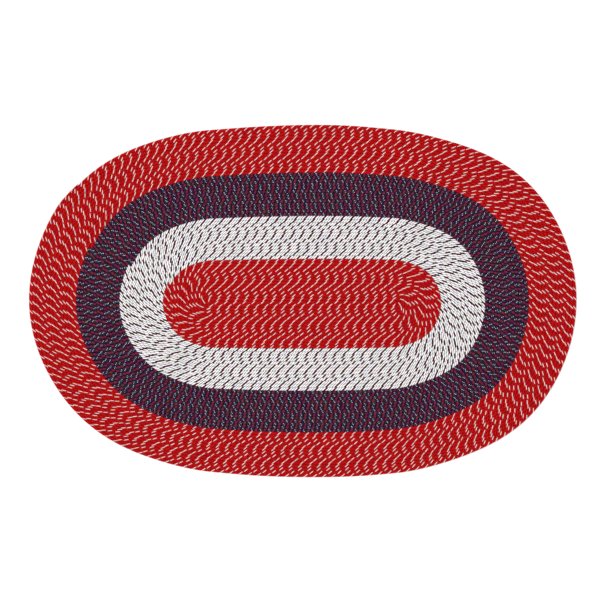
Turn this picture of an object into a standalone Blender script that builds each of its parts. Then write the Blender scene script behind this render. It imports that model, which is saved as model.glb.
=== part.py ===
"""Oval braided rug: one long braid, sewn edge to edge in a flat coil.

The braid starts on the core line in the middle of the rug and winds clockwise, seen from
above, one row further out with each turn. Four lengths follow one another, each in its own
colour: centre red, white, navy and outer red. Every length is one closed solid with a flat
underside and a ridged top, one ridge for each row of braid.
"""

import math
from collections import namedtuple

import bmesh
import bpy
from mathutils import Vector

# Driving sizes, in metres
CORE_HALF = 0.2819        # half of the straight run in the middle, which the rows wind round
BRAID_THICKNESS = 0.0095  # underside to the crest of a row
GROOVE_DEPTH = 0.0024     # crest of a row down to the seam beside it
RIM_TUCK = 0.0020         # how far the outermost row's underside is drawn in under its edge
SEAM_GAP = 0.0003         # clearance between two lengths of braid
CORE_DRIFT = 0.0070       # the core lies this far in front of the middle of the rim
DRIFT_FADE = 3            # power by which that drift fades out towards the rim

# Shares of one turn that count to each long side and to each round end
SIDE_SHARE = 0.24
END_SHARE = 0.26

# Facets along each long side and around each round end, the same for every row
SIDE_STEPS = 8
END_STEPS = 22
STEPS = 2 * (SIDE_STEPS + END_STEPS)

# The lengths of braid are cut this many facets round the left end, near the back long side,
# and the outermost row runs on a little past the other splices before it ends
SPLICE_FACET = 14
RIM_END_FACET = 16

# The outermost row narrows over its last step to this part of a row, sewn down to the rim
TAIL_WIDTH = 0.35

Band = namedtuple("Band", "name last_turn last_facet row_pitch colour roughness")
BANDS = (
    Band("centre_red_braid", 13, SPLICE_FACET, 0.00970, (0.45, 0.030, 0.030), 0.80),
    Band("white_braid", 26, SPLICE_FACET, 0.00994, (0.56, 0.52, 0.53), 0.85),
    Band("navy_braid", 39, SPLICE_FACET, 0.00988, (0.065, 0.028, 0.055), 0.82),
    Band("outer_red_braid", 53, RIM_END_FACET, 0.01004, (0.45, 0.030, 0.030), 0.80),
)

# The hand-laid oval isn't a true one. Waves round the rim, and how far each swells it.
Wave = namedtuple("Wave", "count cosine sine")
WAVES = (
    Wave(1, 0.0031, 0.0036),
    Wave(2, -0.0106, -0.0024),
    Wave(3, -0.0019, -0.0005),
    Wave(4, 0.0113, -0.0002),
    Wave(6, 0.0053, 0.0003),
    Wave(7, 0.0006, 0.0011),
    Wave(10, -0.0017, 0.0003),
)

# The first pass lies this part of a row off the core line, so that the next one meets it there
FIRST_PASS = END_SHARE / 2
SEAM_HEIGHT = BRAID_THICKNESS - GROOVE_DEPTH


def station(step):
    """Share of the turn at a step: back long side, right end, front long side, left end."""
    lap = step % STEPS
    if lap <= SIDE_STEPS:
        return SIDE_SHARE * lap / SIDE_STEPS
    lap -= SIDE_STEPS
    if lap <= END_STEPS:
        return SIDE_SHARE + END_SHARE * lap / END_STEPS
    lap -= END_STEPS
    if lap <= SIDE_STEPS:
        return 0.5 + SIDE_SHARE * lap / SIDE_STEPS
    lap -= SIDE_STEPS
    return 0.5 + SIDE_SHARE + END_SHARE * lap / END_STEPS


def rows_at(step):
    """Rows of braid between the core line and the middle of the row at a step of the coil."""
    return step // STEPS + station(step) + FIRST_PASS


def end_step(band):
    """Step of the coil, counted from its start, at which a length of braid is cut."""
    left_end = 2 * SIDE_STEPS + END_STEPS
    return band.last_turn * STEPS + left_end + band.last_facet


def distance(rows):
    """How far out from the core line that many rows reach."""
    total = 0.0
    done = 0.0
    for band in BANDS:
        last = rows_at(end_step(band))
        if rows <= last or band is BANDS[-1]:
            return total + (rows - done) * band.row_pitch
        total += (last - done) * band.row_pitch
        done = last


RIM_DISTANCE = distance(rows_at(end_step(BANDS[-1])))


def way_round(share):
    """Part of the rim's length from the middle of the back long side to a share of the turn."""
    side = 2 * CORE_HALF
    end = math.pi * RIM_DISTANCE
    if share < SIDE_SHARE:
        run = side * share / SIDE_SHARE
    elif share < 0.5:
        run = side + end * (share - SIDE_SHARE) / END_SHARE
    elif share < 0.5 + SIDE_SHARE:
        run = side + end + side * (share - 0.5) / SIDE_SHARE
    else:
        run = 2 * side + end + end * (share - 0.5 - SIDE_SHARE) / END_SHARE
    return (run - side / 2) / (2 * side + 2 * end)


def swell(share):
    """How much further out than a true oval the rows lie at this share of the turn."""
    waves = 0.0
    for wave in WAVES:
        angle = 2 * math.pi * wave.count * way_round(share)
        waves += wave.cosine * math.cos(angle) + wave.sine * math.sin(angle)
    return 1 + waves / RIM_DISTANCE


def oval(share, out):
    """Point at a share of the turn, clockwise from the back left shoulder, out from the core."""
    if share < SIDE_SHARE:
        foot = -CORE_HALF + 2 * CORE_HALF * share / SIDE_SHARE
        angle = math.pi / 2
    elif share < 0.5:
        foot = CORE_HALF
        angle = math.pi / 2 - math.pi * (share - SIDE_SHARE) / END_SHARE
    elif share < 0.5 + SIDE_SHARE:
        foot = CORE_HALF - 2 * CORE_HALF * (share - 0.5) / SIDE_SHARE
        angle = -math.pi / 2
    else:
        foot = -CORE_HALF
        angle = -math.pi / 2 - math.pi * (share - 0.5 - SIDE_SHARE) / END_SHARE
    reach = out * swell(share)
    drift = CORE_DRIFT * (1 - (abs(out) / RIM_DISTANCE) ** DRIFT_FADE)
    return Vector((foot + reach * math.cos(angle), reach * math.sin(angle) - drift))


def rim_centre():
    """Middle of the rim's box, which is the rug's origin."""
    last = end_step(BANDS[-1])
    rim = [oval(station(i), distance(rows_at(i) + 0.5)) for i in range(last - STEPS, last)]
    xs = [point.x for point in rim]
    ys = [point.y for point in rim]
    return Vector(((min(xs) + max(xs)) / 2, (min(ys) + max(ys)) / 2))


CENTRE = rim_centre()


class BandMesh:
    """Builds the closed solid of one length of braid, from its first step to its last."""

    def __init__(self, band, first, last):
        self.band = band
        self.first = first
        self.last = last
        self.mesh = bmesh.new()
        self.seams = {}
        self.crests = {}
        self.undersides = {}

    def vertex(self, step, out, height, along=0.0):
        """New vertex at a step of the coil, moved along the row and kept on the rug's frame."""
        point = oval(station(step), out) - CENTRE
        if along:
            ahead = oval(station(step + 1), out) - oval(station(step - 1), out)
            point += ahead.normalized() * along
        return self.mesh.verts.new((point.x, point.y, height))

    def tail(self, step):
        """Part of its full width that the braid has here: less where the outermost row ends."""
        return TAIL_WIDTH if self.band is BANDS[-1] and step == self.last else 1.0

    def seam(self, step):
        """Seam line outside the row at a step. The same line is inside the next row out."""
        if step not in self.seams:
            rows = rows_at(step) + 0.5
            out = distance(rows)
            along = 0.0
            if step <= self.first:
                out += SEAM_GAP / 2
                along = SEAM_GAP / 2 if step in (self.first, self.first - STEPS) else 0.0
            elif step >= self.last - STEPS:
                inner = distance(rows - 1)
                out = inner + (out - inner) * self.tail(step) - SEAM_GAP / 2
                along = -SEAM_GAP / 2 if step in (self.last, self.last - STEPS) else 0.0
            self.seams[step] = self.vertex(step, out, SEAM_HEIGHT, along)
        return self.seams[step]

    def crest(self, step):
        """Crest line of the row at a step."""
        if step not in self.crests:
            rows = rows_at(step)
            inner = distance(rows - 0.5)
            part = self.tail(step)
            out = inner + (distance(rows) - inner) * part
            height = SEAM_HEIGHT + GROOVE_DEPTH * part
            along = 0.0
            if step == self.first and self.first > 0:
                along = SEAM_GAP / 2
            elif step == self.last:
                along = -SEAM_GAP / 2
            self.crests[step] = self.vertex(step, out, height, along)
        return self.crests[step]

    def underside(self, top, inset=0.0):
        """Vertex of the flat underside below a seam, drawn in towards the rug's middle."""
        if top not in self.undersides:
            flat = Vector((top.co.x, top.co.y))
            flat -= flat.normalized() * inset
            self.undersides[top] = self.mesh.verts.new((flat.x, flat.y, 0.0))
        return self.undersides[top]

    def face(self, *corners):
        """Face through the corners, less any that repeat the one before."""
        kept = [corner for i, corner in enumerate(corners) if corner is not corners[i - 1]]
        if len(kept) > 2:
            self.mesh.faces.new(kept)

    def ridges(self):
        """Two slopes of each row: inner seam up to the crest, crest down to the outer seam."""
        for step in range(self.first, self.last):
            ahead = step + 1
            self.face(self.seam(step - STEPS), self.crest(step),
                      self.crest(ahead), self.seam(ahead - STEPS))
            self.face(self.crest(step), self.seam(step), self.seam(ahead), self.crest(ahead))

    def wall(self, tops, inset=0.0):
        """Upright wall below a line of seam vertices."""
        for here, ahead in zip(tops, tops[1:]):
            self.face(here, self.underside(here, inset), self.underside(ahead, inset), ahead)

    def cut_end(self, step):
        """Cut face across the braid at a step, from its outer seam in to its inner seam."""
        outer = self.seam(step)
        inner = self.seam(step - STEPS)
        below = self.undersides
        self.face(outer, self.crest(step), inner, below[inner], below[outer])

    def outer_wall(self, inset):
        """Wall round the last turn, and the cut end where the next length begins."""
        last_turn = [self.seam(step) for step in range(self.last - STEPS, self.last + 1)]
        self.wall(last_turn, inset)
        self.cut_end(self.last)

    def solid(self):
        """The finished mesh data, with every face turned outwards."""
        bmesh.ops.recalc_face_normals(self.mesh, faces=self.mesh.faces)
        data = bpy.data.meshes.new(self.band.name)
        self.mesh.to_mesh(data)
        self.mesh.free()
        return data


def centre_band(band, last):
    """The length in the middle: its first turn closes on itself along the core line."""
    built = BandMesh(band, 0, last)
    front = SIDE_STEPS + END_STEPS
    left_end = front + SIDE_STEPS
    line = [built.seam(step - STEPS) for step in range(SIDE_STEPS + 1)]
    for step in range(SIDE_STEPS, front):
        built.seams[step - STEPS] = line[-1]
    for step, vertex in zip(range(front, left_end + 1), reversed(line)):
        built.seams[step - STEPS] = vertex
    built.ridges()

    # The small round hollow inside the first left turn is closed from the braid's start
    start = built.crest(0)
    hollow = [built.seam(step - STEPS) for step in range(left_end, STEPS + 1)]
    for here, ahead in zip(hollow, hollow[1:]):
        built.face(start, here, ahead)
    built.outer_wall(0.0)
    turn = range(last - STEPS, last + 1)
    built.face(*[built.undersides[built.seam(step)] for step in turn])
    return built.solid()


def ring_band(band, first, last, inset):
    """A length that goes round the one before it."""
    built = BandMesh(band, first, last)
    built.ridges()
    built.outer_wall(inset)
    built.wall([built.seam(step - STEPS) for step in range(first, first + STEPS + 1)])
    built.cut_end(first)

    # Underside: a strip round the turn, which takes in the corners of both cut ends
    below = built.undersides
    inner = [below[built.seam(first - STEPS + lap)] for lap in range(STEPS + 1)]
    outer = [below[built.seam(last - STEPS + lap)] for lap in range(STEPS + 1)]
    for lap in range(STEPS):
        across = (lap - last + first) % STEPS
        corners = [inner[lap], inner[lap + 1], outer[across + 1], outer[across]]
        if lap == 0:
            corners.insert(0, inner[-1])
        if across == STEPS - 1:
            corners.insert(-2, outer[0])
        built.face(*corners)
    return built.solid()


def finish(band):
    """Plain cloth material in the colour that the length's yarns make together."""
    material = bpy.data.materials.new(band.name)
    material.use_nodes = True
    shader = material.node_tree.nodes["Principled BSDF"]
    shader.inputs["Base Color"].default_value = (*band.colour, 1.0)
    shader.inputs["Roughness"].default_value = band.roughness
    shader.inputs["Metallic"].default_value = 0.0
    return material


def main():
    for old in list(bpy.data.objects):
        bpy.data.objects.remove(old)
    first = 0
    for band in BANDS:
        last = end_step(band)
        if band is BANDS[0]:
            data = centre_band(band, last)
        else:
            inset = RIM_TUCK if band is BANDS[-1] else 0.0
            data = ring_band(band, first, last, inset)
        data.materials.append(finish(band))
        bpy.context.collection.objects.link(bpy.data.objects.new(band.name, data))
        first = last


main()
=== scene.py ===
"""Looks of the oval braided rug: its cord, the yarns wound over it, the floor and the light."""

import math
from collections import namedtuple

import bpy
import numpy as np
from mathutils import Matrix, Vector


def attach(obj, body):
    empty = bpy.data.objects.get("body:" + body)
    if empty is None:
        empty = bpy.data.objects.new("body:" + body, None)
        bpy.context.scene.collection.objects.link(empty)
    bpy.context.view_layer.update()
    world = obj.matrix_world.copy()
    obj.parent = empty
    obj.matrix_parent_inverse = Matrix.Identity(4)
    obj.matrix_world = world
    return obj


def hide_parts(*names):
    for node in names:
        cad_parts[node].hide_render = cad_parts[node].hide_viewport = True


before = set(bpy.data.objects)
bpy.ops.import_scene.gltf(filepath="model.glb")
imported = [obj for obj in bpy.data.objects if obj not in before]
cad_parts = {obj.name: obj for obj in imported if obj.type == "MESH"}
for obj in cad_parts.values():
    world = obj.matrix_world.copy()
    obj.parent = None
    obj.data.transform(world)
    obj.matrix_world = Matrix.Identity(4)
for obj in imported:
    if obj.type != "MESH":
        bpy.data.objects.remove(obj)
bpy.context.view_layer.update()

# ---------------------------------------------------------------- the coil, as the solids have it
CORE_HALF = 0.2819
THICKNESS = 0.0095
CORE_DRIFT = 0.0070
DRIFT_FADE = 3
SIDE_SHARE = 0.24
END_SHARE = 0.26
END_FACETS = 22
SPLICE_FACET = 14
TAPER_FACET = 15
RIM_END_FACET = 16
TAIL_WIDTH = 0.35
TAIL_HEIGHT = 0.55        # part of its height that a row would keep at no width at all
FIRST_PASS = END_SHARE / 2
COIL_START = -0.004       # turns: the braid's first end fills the hollow of the first left bend

Band = namedtuple("Band", "node last_turn last_facet pitch")
BANDS = (
    Band("centre_red_braid", 13, SPLICE_FACET, 0.00970),
    Band("white_braid", 26, SPLICE_FACET, 0.00994),
    Band("navy_braid", 39, SPLICE_FACET, 0.00988),
    Band("outer_red_braid", 53, RIM_END_FACET, 0.01004),
)

Wave = namedtuple("Wave", "count cosine sine")
WAVES = (
    Wave(1, 0.0031, 0.0036),
    Wave(2, -0.0106, -0.0024),
    Wave(3, -0.0019, -0.0005),
    Wave(4, 0.0113, -0.0002),
    Wave(6, 0.0053, 0.0003),
    Wave(7, 0.0006, 0.0011),
    Wave(10, -0.0017, 0.0003),
)


def facet_share(facet):
    """Share of a turn at a facet of the left end."""
    return 0.5 + SIDE_SHARE + END_SHARE * facet / END_FACETS


def last_of(band):
    """Turns from the start at which a length of braid is cut."""
    return band.last_turn + facet_share(band.last_facet)


def distance(rows):
    """How far out from the core line that many rows reach."""
    rows = np.asarray(rows, float)
    out = np.zeros_like(rows)
    done = 0.0
    for band in BANDS:
        last = last_of(band) + FIRST_PASS
        if band is BANDS[-1]:
            out += np.maximum(rows - done, 0.0) * band.pitch
        elif band is BANDS[0]:
            out += np.minimum(rows, last) * band.pitch
        else:
            out += np.clip(rows - done, 0.0, last - done) * band.pitch
        done = last
    return out


RIM_TURN = last_of(BANDS[-1])
RIM_DISTANCE = float(distance(RIM_TURN + FIRST_PASS))


def oval(turn, out):
    """Points at a number of turns from the start, that far out from the core line."""
    share = np.where(turn < 0, turn, turn % 1.0)
    side = 2 * CORE_HALF
    end = math.pi * RIM_DISTANCE
    back = share < SIDE_SHARE
    right = share < 0.5
    front = share < 0.5 + SIDE_SHARE
    part = np.select(
        [back, right, front],
        [share / SIDE_SHARE, (share - SIDE_SHARE) / END_SHARE, (share - 0.5) / SIDE_SHARE],
        (share - 0.5 - SIDE_SHARE) / END_SHARE)

    # Part of the rim's length from the middle of the back long side
    run = np.select([back, right, front],
                    [side * part, side + end * part, side + end + side * part],
                    2 * side + end + end * part)
    way = (run - side / 2) / (2 * side + 2 * end)
    swell = 1.0
    for wave in WAVES:
        turned = 2 * np.pi * wave.count * way
        swell = swell + (wave.cosine * np.cos(turned) + wave.sine * np.sin(turned)) / RIM_DISTANCE

    foot = np.select([back, right, front],
                     [-CORE_HALF + side * part, CORE_HALF, CORE_HALF - side * part],
                     -CORE_HALF)
    angle = np.select([back, right, front],
                      [np.pi / 2, np.pi / 2 - np.pi * part, -np.pi / 2],
                      -np.pi / 2 - np.pi * part)
    reach = out * swell
    drift = CORE_DRIFT * (1 - (np.abs(out) / RIM_DISTANCE) ** DRIFT_FADE)
    return np.stack([foot + reach * np.cos(angle), reach * np.sin(angle) - drift], axis=-1)


def rim_centre():
    """Middle of the rim's box, which is the rug's origin."""
    turns = RIM_TURN - np.linspace(0, 1, 721)
    rim = oval(turns, distance(turns + FIRST_PASS + 0.5))
    return (rim.min(axis=0) + rim.max(axis=0)) / 2


CENTRE = rim_centre()
TAPER_TURN = BANDS[-1].last_turn + facet_share(TAPER_FACET)


def breadth(turn):
    """Part of a row's full width at a number of turns: less where the outermost row ends."""
    left = (RIM_TURN - turn) / (RIM_TURN - TAPER_TURN)
    return TAIL_WIDTH + (1 - TAIL_WIDTH) * np.clip(left, 0.0, 1.0)


def place(turn, across, height):
    """Points on the coil: across is in rows, from -0.5 at a row's inner seam to 0.5 outside."""
    part = breadth(turn)
    rows = turn + FIRST_PASS - 0.5 + (across + 0.5) * part
    flat = oval(turn, distance(rows)) - CENTRE
    height = height * (TAIL_HEIGHT + (1 - TAIL_HEIGHT) * part)
    return np.concatenate([flat, height[..., None]], axis=-1)


TABLE_STEP = 1 / 1440     # turns between two lines of the table of lengths along the braid
TABLE_TURNS = np.arange(COIL_START, RIM_TURN + 0.01, TABLE_STEP)
TABLE_POINTS = oval(TABLE_TURNS, distance(TABLE_TURNS + FIRST_PASS))
TABLE_RUN = np.concatenate([[0.0], np.cumsum(np.hypot(*np.diff(TABLE_POINTS, axis=0).T))])


def turn_at(run):
    """Turns from the start, at a length along the braid."""
    return np.interp(run, TABLE_RUN, TABLE_TURNS)


def run_at(turn):
    """Length along the braid, at a number of turns."""
    return np.interp(turn, TABLE_TURNS, TABLE_RUN)


def pitch_at(turn):
    """Row pitch at a number of turns."""
    edges = np.array([last_of(band) for band in BANDS[:-1]])
    return np.array([band.pitch for band in BANDS])[np.searchsorted(edges, turn)]


# ---------------------------------------------------------------- meshes
UV_MAP = "OFBake"
CELLS = 8                 # the strands share an 8 by 8 grid of places on the map


def make_piece(name, points, corners, sizes, uv, material):
    """New mesh object: corners are point numbers face by face, and sizes the corners of each."""
    data = bpy.data.meshes.new(name)
    data.vertices.add(len(points))
    data.vertices.foreach_set("co", np.ascontiguousarray(points, np.float32).ravel())
    data.loops.add(len(corners))
    data.loops.foreach_set("vertex_index", np.ascontiguousarray(corners, np.int32))
    data.polygons.add(len(sizes))
    starts = np.concatenate([[0], np.cumsum(sizes)[:-1]]).astype(np.int32)
    data.polygons.foreach_set("loop_start", starts)
    data.polygons.foreach_set("use_smooth", np.ones(len(sizes), bool))
    data.uv_layers.new(name=UV_MAP)
    data.uv_layers[UV_MAP].uv.foreach_set("vector", np.ascontiguousarray(uv, np.float32).ravel())
    data.update(calc_edges=True)
    data.materials.append(material)
    piece = bpy.data.objects.new(name, data)
    bpy.context.scene.collection.objects.link(piece)
    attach(piece, "root")
    return piece


# A strand's bow over its row, from stop to stop: across is in rows, and height is its top
Stop = namedtuple("Stop", "across height breadth")
Form = namedtuple("Form", "stops section")

# Section of a strand: place along the cord in strand widths, and rise from its edges to its top
Corner = namedtuple("Corner", "beside rise")
ROUND = (Corner(-0.56, 0.0), Corner(-0.25, 1.0), Corner(0.25, 1.0), Corner(0.56, 0.0))
PEAK = (Corner(-0.56, 0.60), Corner(0.0, 1.0), Corner(0.56, 0.60))

INNER_TIP = Stop(-0.499, 0.0083, 0.0)
OUTER_TIP = Stop(0.499, 0.0083, 0.0)
PLUMP = (
    INNER_TIP,
    Stop(-0.490, 0.0088, 0.97),
    Stop(-0.280, 0.0094, 1.00),
    Stop(0.000, 0.0097, 1.00),
    Stop(0.280, 0.0094, 1.00),
    Stop(0.490, 0.0088, 0.97),
    OUTER_TIP,
)
SLIM = (
    INNER_TIP,
    Stop(-0.492, 0.0092, 1.00),
    Stop(-0.220, 0.0098, 1.00),
    Stop(0.220, 0.0098, 1.00),
    Stop(0.492, 0.0092, 1.00),
    OUTER_TIP,
)
NUBS = (
    Stop(-0.430, 0.0076, 0.0),
    Stop(-0.270, 0.0102, 1.00),
    Stop(0.000, 0.0080, 0.35),
    Stop(0.270, 0.0102, 1.00),
    Stop(0.430, 0.0076, 0.0),
)
# The outermost row's strands go on round its side to the floor
RIM_SIDE = (
    Stop(0.450, 0.0075, 1.00),
    Stop(0.490, 0.0044, 1.00),
    Stop(0.430, 0.0015, 0.95),
    Stop(0.300, 0.0004, 0.0),
)
FORMS = {
    "plump": Form(PLUMP, ROUND),
    "slim": Form(SLIM, PEAK),
    "nubs": Form(NUBS, PEAK),
    "rim_plump": Form(PLUMP[:5] + RIM_SIDE, ROUND),
    "rim_slim": Form(SLIM[:4] + RIM_SIDE, PEAK),
}
EDGE_DEPTH = 0.0013       # a strand's edges lie this far under its top
LEAN = 0.942              # length along the cord for each length of bow across it
CROWN = 0.6               # part of its place on the map that a strand's visible side takes
MARGIN = 0.03             # edge of that place that is left free
TIP_ROOM = 0.12           # part of that place's length that each pointed end takes

# How uneven hand-fed strands are, as one standard deviation
SLIP = 0.00012            # metres along the cord
SLOPE_SPREAD = 0.03       # part of a strand's lean
WIDTH_SPREAD = 0.03       # part of its width
PROUD_SPREAD = 0.00008    # metres of height
LOWEST = 0.0002           # no strand comes closer to the floor


def leads(stops, pitch):
    """How far along the row each stop lies from the strand's place on the crest."""
    side = pitch * np.array([s.across for s in stops])
    height = np.array([s.height for s in stops])
    path = np.concatenate([[0.0], np.cumsum(np.hypot(np.diff(side), np.diff(height)))])
    outermost = side.argmax() + 1
    return LEAN * (path - np.interp(0.0, side[:outermost], path[:outermost]))


def strand_faces(rings, section):
    """Corners, face sizes and map places of one closed strand with a point at each end."""
    per_ring = len(section)
    first_tip = rings * per_ring
    span = section[-1].beside - section[0].beside
    around = [CROWN * (c.beside - section[0].beside) / span for c in section] + [1.0]
    along = np.linspace(TIP_ROOM, 1 - TIP_ROOM, rings)
    faces, places = [], []
    for i in range(rings - 1):
        for j in range(per_ring):
            k = (j + 1) % per_ring
            faces.append((i * per_ring + j, i * per_ring + k,
                          (i + 1) * per_ring + k, (i + 1) * per_ring + j))
            places += [(along[i], around[j]), (along[i], around[j + 1]),
                       (along[i + 1], around[j + 1]), (along[i + 1], around[j])]
    last = (rings - 1) * per_ring
    for j in range(per_ring):
        k = (j + 1) % per_ring
        middle = (around[j] + around[j + 1]) / 2
        faces.append((first_tip, k, j))
        places += [(0.0, middle), (along[0], around[j + 1]), (along[0], around[j])]
        faces.append((first_tip + 1, last + j, last + k))
        places += [(1.0, middle), (along[-1], around[j]), (along[-1], around[j + 1])]
    corners = np.array([corner for face in faces for corner in face])
    return corners, np.array([len(face) for face in faces]), np.array(places)


def strands(name, crest, width, form, material, rng, lean):
    """One piece of closed strands, each crossing its row at a length along the braid."""
    count = len(crest)
    pitch = pitch_at(turn_at(crest))[:, None, None]
    lead = lean * leads(form.stops, float(pitch.mean()))[None, :, None]
    across = np.array([s.across for s in form.stops])[None, :, None]
    top = np.array([s.height for s in form.stops])[None, :, None]
    wide = np.array([s.breadth for s in form.stops])[None, :, None]
    beside = np.array([c.beside for c in form.section])
    rise = np.array([c.rise for c in form.section])

    slip = rng.normal(0, SLIP, (count, 1, 1))
    slope = rng.normal(1, SLOPE_SPREAD, (count, 1, 1))
    fat = rng.normal(1, WIDTH_SPREAD, (count, 1, 1))
    proud = rng.normal(0, PROUD_SPREAD, (count, 1, 1))
    side = pitch * across
    up = top + proud - THICKNESS / 2
    sunk = 1 - (1 - rise) * EDGE_DEPTH / np.hypot(side, up)
    run = crest[:, None, None] + slip + slope * lead + beside * width * fat * wide
    side = side * sunk
    height = THICKNESS / 2 + up * sunk

    # Each end is one point, which stands first and last among the stops
    rings = slice(1, -1)
    run = np.concatenate([run[:, rings].reshape(count, -1), run[:, [0, -1], 0]], axis=1)
    side = np.concatenate([side[:, rings].reshape(count, -1), side[:, [0, -1], 0]], axis=1)
    height = np.concatenate([height[:, rings].reshape(count, -1), height[:, [0, -1], 0]], axis=1)
    turn = turn_at(np.clip(run, 0, TABLE_RUN[-1]))
    points = place(turn, side / pitch_at(turn), np.maximum(height, LOWEST)).reshape(-1, 3)

    corners, sizes, places = strand_faces(len(form.stops) - 2, form.section)
    corners = (corners + run.shape[1] * np.arange(count)[:, None]).ravel()
    cell = rng.integers(0, CELLS * CELLS, count)
    corner_of_cell = np.stack([cell % CELLS, cell // CELLS], axis=-1)[:, None, :]
    uv = (corner_of_cell + MARGIN + (1 - 2 * MARGIN) * places) / CELLS
    return make_piece(name, points, corners, np.tile(sizes, count), uv.reshape(-1, 2), material)


# Section of the cord under the strands: across in rows, and height
Side = namedtuple("Side", "across height")
CORD = (
    Side(-0.499, 0.0062), Side(-0.26, 0.0081), Side(0.26, 0.0081),
    Side(0.499, 0.0062), Side(0.28, 0.0), Side(-0.28, 0.0),
)
CORD_STEP = 0.022         # length of a facet round the ends
TIGHTEST = 0.005          # least bend, in metres, that the facets are counted for
LEAST_FACETS = 12         # facets round an end, however tight it is
SIDE_FACETS = 14          # facets along a long side
SAME_TURN = 1e-5          # turns closer than this are one ring
RIM_INSET = 0.085         # rows by which the outermost row's cord is narrower, under its strands


def cord_turns(first, last):
    """Turns at which the cord has a ring of vertices, closer together in tight bends."""
    turns = [first, last]
    for lap in range(math.floor(first), math.ceil(last) + 1):
        reach = max(float(distance(lap + 0.5)), TIGHTEST)
        facets = max(LEAST_FACETS, math.ceil(math.pi * reach / CORD_STEP))
        for start in (0.0, 0.5):
            turns += list(lap + start + SIDE_SHARE * np.arange(SIDE_FACETS) / SIDE_FACETS)
            turns += list(lap + start + SIDE_SHARE + END_SHARE * np.arange(facets) / facets)
    turns = np.array(sorted(turns))
    turns = turns[(turns >= first) & (turns <= last)]
    return turns[np.concatenate([[True], np.diff(turns) > SAME_TURN])]


def cord(name, first, last, lay, material):
    """The closed cord that a length's strands wind round."""
    turns = cord_turns(first, last)
    count, per_ring = len(turns), len(CORD)
    across = np.array([c.across for c in CORD])
    height = np.array([c.height for c in CORD])
    grid = np.broadcast_to(turns[:, None], (count, per_ring))
    outside = (grid > RIM_TURN - 1.0) & (across > 0)
    points = place(grid, across - RIM_INSET * outside, np.broadcast_to(height, grid.shape))
    i = np.arange(count - 1)[:, None]
    j = np.arange(per_ring)[None, :]
    k = (j + 1) % per_ring
    # Rings follow one another along the cord, and their vertices go outwards over the top
    near, far = i * per_ring, (i + 1) * per_ring
    quads = np.stack([near + j, far + j, far + k, near + k], axis=-1)
    run = run_at(turns) / lay
    a = np.broadcast_to(j / per_ring, quads.shape[:2])
    b = np.broadcast_to((j + 1) / per_ring, quads.shape[:2])
    here = np.broadcast_to(run[:-1, None], quads.shape[:2])
    ahead = np.broadcast_to(run[1:, None], quads.shape[:2])
    uv = np.stack([np.stack([here, a], -1), np.stack([ahead, a], -1),
                   np.stack([ahead, b], -1), np.stack([here, b], -1)], axis=2)
    start_cap = np.arange(per_ring)
    end_cap = (count - 1) * per_ring + np.arange(per_ring)[::-1]
    corners = np.concatenate([quads.ravel(), start_cap, end_cap])
    sizes = np.concatenate([np.full(quads.shape[0] * quads.shape[1], 4), [per_ring, per_ring]])
    cap_uv = np.concatenate([np.stack([np.full(per_ring, run[0]), start_cap / per_ring], -1),
                             np.stack([np.full(per_ring, run[-1]), start_cap[::-1] / per_ring], -1)])
    uv = np.concatenate([uv.reshape(-1, 2), cap_uv])
    return make_piece(name, points.reshape(-1, 3), corners, sizes, uv, material)


# ---------------------------------------------------------------- materials
class Nodes:
    """A new material, and short ways to add and link its nodes."""

    def __init__(self, name):
        self.material = bpy.data.materials.new(name)
        self.material.use_nodes = True
        self.tree = self.material.node_tree
        self.shader = self.tree.nodes["Principled BSDF"]

    def add(self, kind, **settings):
        node = self.tree.nodes.new(kind)
        for key, value in settings.items():
            setattr(node, key, value)
        return node

    def link(self, source, target):
        self.tree.links.new(source, target)

    def math(self, operation, first, second=None, clamp=False):
        node = self.add("ShaderNodeMath", operation=operation, use_clamp=clamp)
        for socket, value in zip(node.inputs, (first, second)):
            if value is None:
                continue
            if isinstance(value, (int, float)):
                socket.default_value = value
            else:
                self.link(value, socket)
        return node.outputs[0]


FIBRE_STRETCH = (5.0, 46.0, 1.0)   # fibre noise for each place on the map, along and across
PLIES = 8.0               # ridges round a strand's whole place on the map
PLY_SLANT = 1.6           # ridges that a ply crosses from end to end

# Brightness of a strand: what is always there, what fibres and chance add, and the painted shade of
# the plies, darker in their hollows
STEADY_SHADE = 0.77
FIBRE_SHADE = 0.30
CHANCE_SHADE = 0.16
PLY_PAINTED_SHADE = 0.04
END_PAINTED_LIGHT = 1.12           # painted light: how much lighter a strand is painted where it dives at a seam, against the shade there
PLY_RELIEF = 0.35         # height of the plies against the fibres'


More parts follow.
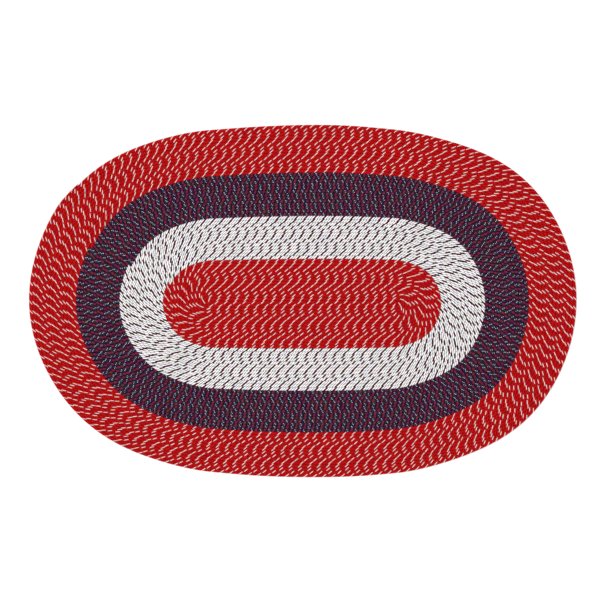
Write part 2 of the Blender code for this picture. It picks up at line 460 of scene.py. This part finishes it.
def yarn(name, colour, groove, tint):
    """Matt filament yarn: fine fibres along the strand, three plies, painted shade where strands
    meet and painted light towards a strand's ends.
    """
    n = Nodes(name)
    uv = n.add("ShaderNodeUVMap", uv_map=UV_MAP)
    cells = n.add("ShaderNodeVectorMath", operation="SCALE")
    cells.inputs["Scale"].default_value = CELLS
    n.link(uv.outputs["UV"], cells.inputs[0])
    within = n.add("ShaderNodeVectorMath", operation="FRACTION")
    n.link(cells.outputs[0], within.inputs[0])
    split = n.add("ShaderNodeSeparateXYZ")
    n.link(within.outputs[0], split.inputs[0])
    along, around = split.outputs["X"], split.outputs["Y"]
    which = n.add("ShaderNodeVectorMath", operation="FLOOR")
    n.link(cells.outputs[0], which.inputs[0])
    chance = n.add("ShaderNodeTexWhiteNoise", noise_dimensions="2D")
    n.link(which.outputs[0], chance.inputs["Vector"])

    # Fibres: noise drawn out along the strand
    stretch = n.add("ShaderNodeVectorMath", operation="MULTIPLY")
    stretch.inputs[1].default_value = FIBRE_STRETCH
    n.link(cells.outputs[0], stretch.inputs[0])
    fibre = n.add("ShaderNodeTexNoise", noise_dimensions="2D")
    fibre.inputs["Scale"].default_value = 1.0
    fibre.inputs["Detail"].default_value = 3.0
    fibre.inputs["Roughness"].default_value = 0.6
    n.link(stretch.outputs[0], fibre.inputs["Vector"])

    # Plies: gentle ridges that lean a little across the strand, with painted shade in their hollows
    # and painted light on their crests
    slant = n.math("ADD", n.math("MULTIPLY", around, PLIES),
                   n.math("MULTIPLY", along, PLY_SLANT))
    ply = n.math("SINE", n.math("MULTIPLY", slant, 2 * math.pi))

    dyed = n.add("ShaderNodeMix", data_type="RGBA")
    dyed.inputs["Factor"].default_value = tint
    dyed.inputs["A"].default_value = (*colour, 1)
    n.link(chance.outputs["Color"], dyed.inputs["B"])
    light = n.math("ADD", n.math("MULTIPLY", fibre.outputs["Fac"], FIBRE_SHADE),
                   n.math("MULTIPLY", chance.outputs["Value"], CHANCE_SHADE))
    light = n.math("ADD", light, n.math("MULTIPLY", ply, PLY_PAINTED_SHADE))
    light = n.math("ADD", light, STEADY_SHADE)

    # From the middle of a strand's visible side (0) to its edges (1), where it meets the next:
    # painted shade, darker towards the edges where shadow falls between strands
    middle = MARGIN + (1 - 2 * MARGIN) * CROWN / 2
    beside = n.math("ABSOLUTE", n.math("SUBTRACT", around, middle))
    edge = n.add("ShaderNodeMapRange", interpolation_type="SMOOTHSTEP")
    edge.inputs["From Min"].default_value = 0.36 * middle
    edge.inputs["From Max"].default_value = 0.90 * middle
    edge.inputs["To Min"].default_value = 1.0
    edge.inputs["To Max"].default_value = groove
    n.link(beside, edge.inputs["Value"])

    # Painted light: a strand is a little lighter towards its ends, where it dives at a seam, against
    # the shade of the seam
    end = n.add("ShaderNodeMapRange", interpolation_type="SMOOTHSTEP")
    end.inputs["From Min"].default_value = 0.18
    end.inputs["From Max"].default_value = 0.40
    end.inputs["To Min"].default_value = 1.0
    end.inputs["To Max"].default_value = END_PAINTED_LIGHT
    n.link(n.math("ABSOLUTE", n.math("SUBTRACT", along, 0.5)), end.inputs["Value"])
    light = n.math("MULTIPLY", light, end.outputs["Result"])
    tone = n.add("ShaderNodeVectorMath", operation="SCALE")
    n.link(dyed.outputs["Result"], tone.inputs[0])
    n.link(n.math("MULTIPLY", light, edge.outputs["Result"]), tone.inputs["Scale"])
    n.link(tone.outputs[0], n.shader.inputs["Base Color"])

    height = n.math("ADD", fibre.outputs["Fac"], n.math("MULTIPLY", ply, PLY_RELIEF))
    bump = n.add("ShaderNodeBump")
    bump.inputs["Strength"].default_value = 0.5
    bump.inputs["Distance"].default_value = 0.0005
    n.link(height, bump.inputs["Height"])
    n.link(bump.outputs["Normal"], n.shader.inputs["Normal"])
    n.shader.inputs["Roughness"].default_value = 0.82
    n.shader.inputs["Specular IOR Level"].default_value = 0.05
    return n.material


Stripe = namedtuple("Stripe", "start end colour")
UPPER_FACES = 0.49        # the three upper faces of the six round the cord end just past here
LOBE_SHADE = 0.45         # painted shade: how much darker the hollows between the cord's lobes are painted


def cord_cloth(name, ground, stripes, gap):
    """A length's own cloth: a plain darker gap colour between the strands, which is painted shade,
    and its yarns striped below, with painted shade in the hollows between the cord's lobes.
    """
    n = Nodes(name)
    uv = n.add("ShaderNodeUVMap", uv_map=UV_MAP)
    split = n.add("ShaderNodeSeparateXYZ")
    n.link(uv.outputs["UV"], split.inputs[0])
    run, round_it = split.outputs["X"], split.outputs["Y"]
    phase = n.math("FRACT", n.math("SUBTRACT", run, round_it))
    ramp = n.add("ShaderNodeValToRGB")
    ramp.color_ramp.interpolation = "CONSTANT"
    elements = ramp.color_ramp.elements
    elements[0].position = 0.0
    elements[0].color = (*ground, 1)
    elements.remove(elements[1])
    for stripe in stripes:
        elements.new(stripe.start).color = (*stripe.colour, 1)
        elements.new(stripe.end).color = (*ground, 1)
    n.link(phase, ramp.inputs["Fac"])
    # Painted shade: the colour is darker in the hollows between the cord's lobes
    lobes = n.math("ABSOLUTE", n.math("SINE", n.math("MULTIPLY", phase, 4 * math.pi)))
    hollow_shade = n.math("ADD", n.math("MULTIPLY", lobes, LOBE_SHADE), 1 - LOBE_SHADE)
    striped = n.add("ShaderNodeVectorMath", operation="SCALE")
    n.link(ramp.outputs["Color"], striped.inputs[0])
    n.link(hollow_shade, striped.inputs["Scale"])
    # The upper faces lie under the strands and show only between them: their gap colour is painted
    # shade
    below = n.math("GREATER_THAN", round_it, UPPER_FACES)
    shown = n.add("ShaderNodeMix", data_type="RGBA")
    n.link(below, shown.inputs["Factor"])
    shown.inputs["A"].default_value = (*gap, 1)
    n.link(striped.outputs[0], shown.inputs["B"])
    n.link(shown.outputs["Result"], n.shader.inputs["Base Color"])
    bump = n.add("ShaderNodeBump")
    bump.inputs["Strength"].default_value = 0.7
    bump.inputs["Distance"].default_value = 0.0012
    n.link(lobes, bump.inputs["Height"])
    n.link(bump.outputs["Normal"], n.shader.inputs["Normal"])
    n.shader.inputs["Roughness"].default_value = 0.85
    n.shader.inputs["Specular IOR Level"].default_value = 0.1
    return n.material


RED = (0.450, 0.0022, 0.0028)
ACCENT_WHITE = (1.0, 0.68, 0.66)
WHITE = (0.845, 0.84, 0.845)
MAROON = (0.070, 0.001, 0.004)
NAVY = (0.014, 0.0095, 0.034)
BURGUNDY = (0.115, 0.009, 0.028)
PALE = (0.95, 0.85, 1.0)

# ---------------------------------------------------------------- the yarns of each braid
# A yarn's fifth value is painted shade: the part of its colour left at a strand's edges, where
# shadow falls between strands
Yarn = namedtuple("Yarn", "name phase width kind colour groove tint lean")
Braid = namedtuple("Braid", "lay yarns gap pieces")


def with_accent(lay, main, phases, accent, gap, pieces):
    """Plump yarns of one colour, and a slim accent yarn that crosses once a lay."""
    plump = [main._replace(phase=phase) for phase in phases]
    return Braid(lay, (*plump, accent), gap, pieces)


RED_YARN = Yarn("red", 0.5, 0.290, "plump", RED, 0.10, 0.004, 1)
RED_ACCENT = Yarn("accent", 0.0, 0.120, "slim", ACCENT_WHITE, 1.0, 0.0, 1)
WHITE_YARN = Yarn("white", 0.5, 0.268, "plump", WHITE, 0.0, 0.07, 1)
WHITE_ACCENT = Yarn("accent", 0.0, 0.230, "slim", MAROON, 0.8, 0.0, 1)
NAVY_YARN = Yarn("navy", 0.5, 0.290, "plump", NAVY, 0.35, 0.022, 0.3)
BURGUNDY_YARN = Yarn("burgundy", 0.0, 0.380, "plump", BURGUNDY, 0.25, 0.014, 0.3)
NAVY_ACCENT = Yarn("accent", 0.5, 0.112, "nubs", PALE, 1.0, 0.04, -0.4)
# Painted shade: darker colours for the cord where it shows between the strands
RED_GAP_SHADE = (0.30, 0.003, 0.004)
WHITE_GAP_SHADE = (0.50, 0.49, 0.49)
NAVY_GAP_SHADE = (0.008, 0.005, 0.010)
PHASES = (0.222, 0.500, 0.778)
BRAIDS = {
    "centre_red_braid": with_accent(0.0281, RED_YARN, PHASES, RED_ACCENT, RED_GAP_SHADE, 1),
    "white_braid": with_accent(0.0284, WHITE_YARN, PHASES, WHITE_ACCENT, WHITE_GAP_SHADE, 1),
    "navy_braid": Braid(0.0265, (
        NAVY_YARN._replace(phase=0.365), NAVY_YARN._replace(phase=0.635),
        BURGUNDY_YARN, NAVY_ACCENT), NAVY_GAP_SHADE, 1),
    "outer_red_braid": with_accent(0.0286, RED_YARN, PHASES, RED_ACCENT, RED_GAP_SHADE, 2),
}


WANDER = 0.10             # most that the strands drift along the cord, in lays
WANDER_LAYS = 41          # lays over which the drift is smoothed
WANDER_EDGE = 30          # lays drawn before the first and after the last
FIRST_STRAND = 0.001      # metres left free at the start of a length of braid
LAST_STRAND = 0.003       # metres left free at its end
FIRST_SEED = 40


def wander(count, rng, reach):
    """Slow drift of the strands along the cord, in lays: hand-fed braid is never quite even."""
    steps = rng.normal(0, 1, count + 2 * WANDER_EDGE)
    smooth = np.convolve(steps, np.hanning(WANDER_LAYS), mode="same")
    smooth = smooth[WANDER_EDGE:WANDER_EDGE + count]
    return reach * smooth / np.abs(smooth).max()


def dress(band, first, last, seed):
    """All pieces of one length of braid."""
    braid = BRAIDS[band.node]
    rng = np.random.default_rng(seed)
    start, end = run_at(first), run_at(last)
    laps = np.arange(math.ceil((end - start) / braid.lay) + 1)
    drift = wander(len(laps), rng, WANDER)
    label = band.node.replace("_braid", "")
    rim_start = run_at(RIM_TURN - 1.0)
    made = []
    for yarn_name in dict.fromkeys(y.name for y in braid.yarns):
        group = [y for y in braid.yarns if y.name == yarn_name]
        one = group[0]
        material = yarn(f"{label}_{yarn_name}_yarn", one.colour, one.groove, one.tint)
        crest = [start + braid.lay * (laps + y.phase + drift) for y in group]
        crest = np.sort(np.concatenate(crest))
        crest = crest[(crest > start + FIRST_STRAND) & (crest < end - LAST_STRAND)]
        rim = (crest > rim_start) & (band is BANDS[-1])
        parts = braid.pieces if one.kind == "plump" else 1
        batches = [(f"_{part + 1}" if parts > 1 else "", one.kind, share)
                   for part, share in enumerate(np.array_split(crest[~rim], parts))]
        if rim.any():
            batches.append(("_rim", "rim_" + one.kind, crest[rim]))
        for tail, kind, share in batches:
            made.append(strands(f"{label}_{yarn_name}_strands{tail}", share,
                                one.width * braid.lay, FORMS[kind], material, rng, one.lean))
    accent = braid.yarns[-1].colour
    stripes = [Stripe(0.42, 0.58, accent)]
    if band.node == "navy_braid":
        stripes = [Stripe(0.20, 0.30, accent), Stripe(0.55, 0.85, BURGUNDY)]
    base = cord(f"{label}_cord", first, last, braid.lay,
                cord_cloth(f"{label}_cord_cloth", braid.yarns[0].colour, stripes, braid.gap))
    for piece in made + [base]:
        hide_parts(band.node)


first = COIL_START
for number, band in enumerate(BANDS):
    dress(band, first, last_of(band), FIRST_SEED + number)
    first = last_of(band)

# ---------------------------------------------------------------- floor, light and camera
PIXEL = 0.0030584         # metres of rug for each pixel of the photo
IMAGE = 600
RUG_MIDDLE = (302.75, 301.0)   # middle of the rug in the photo, in pixels
AIM = ((IMAGE / 2 - RUG_MIDDLE[0]) * PIXEL, (RUG_MIDDLE[1] - IMAGE / 2) * PIXEL)
CAMERA_HEIGHT = 7.0
SENSOR_WIDTH = 36.0
FLOOR_HALF = 15.0
FLOOR_HEIGHT = -0.0002    # just under the rug, so that the two never share a plane
FLOOR_PAINT = (0.93, 0.93, 0.93, 1)
FLOOR_ROUGHNESS = 0.9
ROOM_LIGHT = 0.48


def floor():
    """Plain pale floor."""
    data = bpy.data.meshes.new("floor")
    half = FLOOR_HALF
    around = ((-half, -half), (half, -half), (half, half), (-half, half))
    data.from_pydata([(x, y, FLOOR_HEIGHT) for x, y in around], [], [(0, 1, 2, 3)])
    material = bpy.data.materials.new("floor_paint")
    material.use_nodes = True
    shader = material.node_tree.nodes["Principled BSDF"]
    shader.inputs["Base Color"].default_value = FLOOR_PAINT
    shader.inputs["Roughness"].default_value = FLOOR_ROUGHNESS
    data.materials.append(material)
    piece = bpy.data.objects.new("floor", data)
    bpy.context.scene.collection.objects.link(piece)


def softbox(name, location, size, power):
    """Square soft light that faces the rug."""
    lamp = bpy.data.lights.new(name, "AREA")
    lamp.size = size
    lamp.energy = power
    piece = bpy.data.objects.new(name, lamp)
    piece.location = location
    piece.rotation_euler = (-Vector(location)).to_track_quat("-Z", "Y").to_euler()
    bpy.context.scene.collection.objects.link(piece)


def camera():
    """Looks straight down from above the middle of the photo."""
    data = bpy.data.cameras.new("camera")
    data.sensor_width = SENSOR_WIDTH
    data.lens = data.sensor_width * CAMERA_HEIGHT / (IMAGE * PIXEL)
    piece = bpy.data.objects.new("camera", data)
    piece.location = (*AIM, CAMERA_HEIGHT)
    bpy.context.scene.collection.objects.link(piece)
    bpy.context.scene.camera = piece


floor()
softbox("key", (-1.3, 1.0, 5.2), 1.8, 180.0)
softbox("fill", (1.4, -1.1, 5.0), 2.0, 110.0)
camera()
world = bpy.data.worlds.new("studio")
world.use_nodes = True
backdrop = world.node_tree.nodes["Background"]
backdrop.inputs["Color"].default_value = (1, 1, 1, 1)
backdrop.inputs["Strength"].default_value = ROOM_LIGHT
bpy.context.scene.world = world
bpy.context.scene.view_settings.view_transform = "Standard"
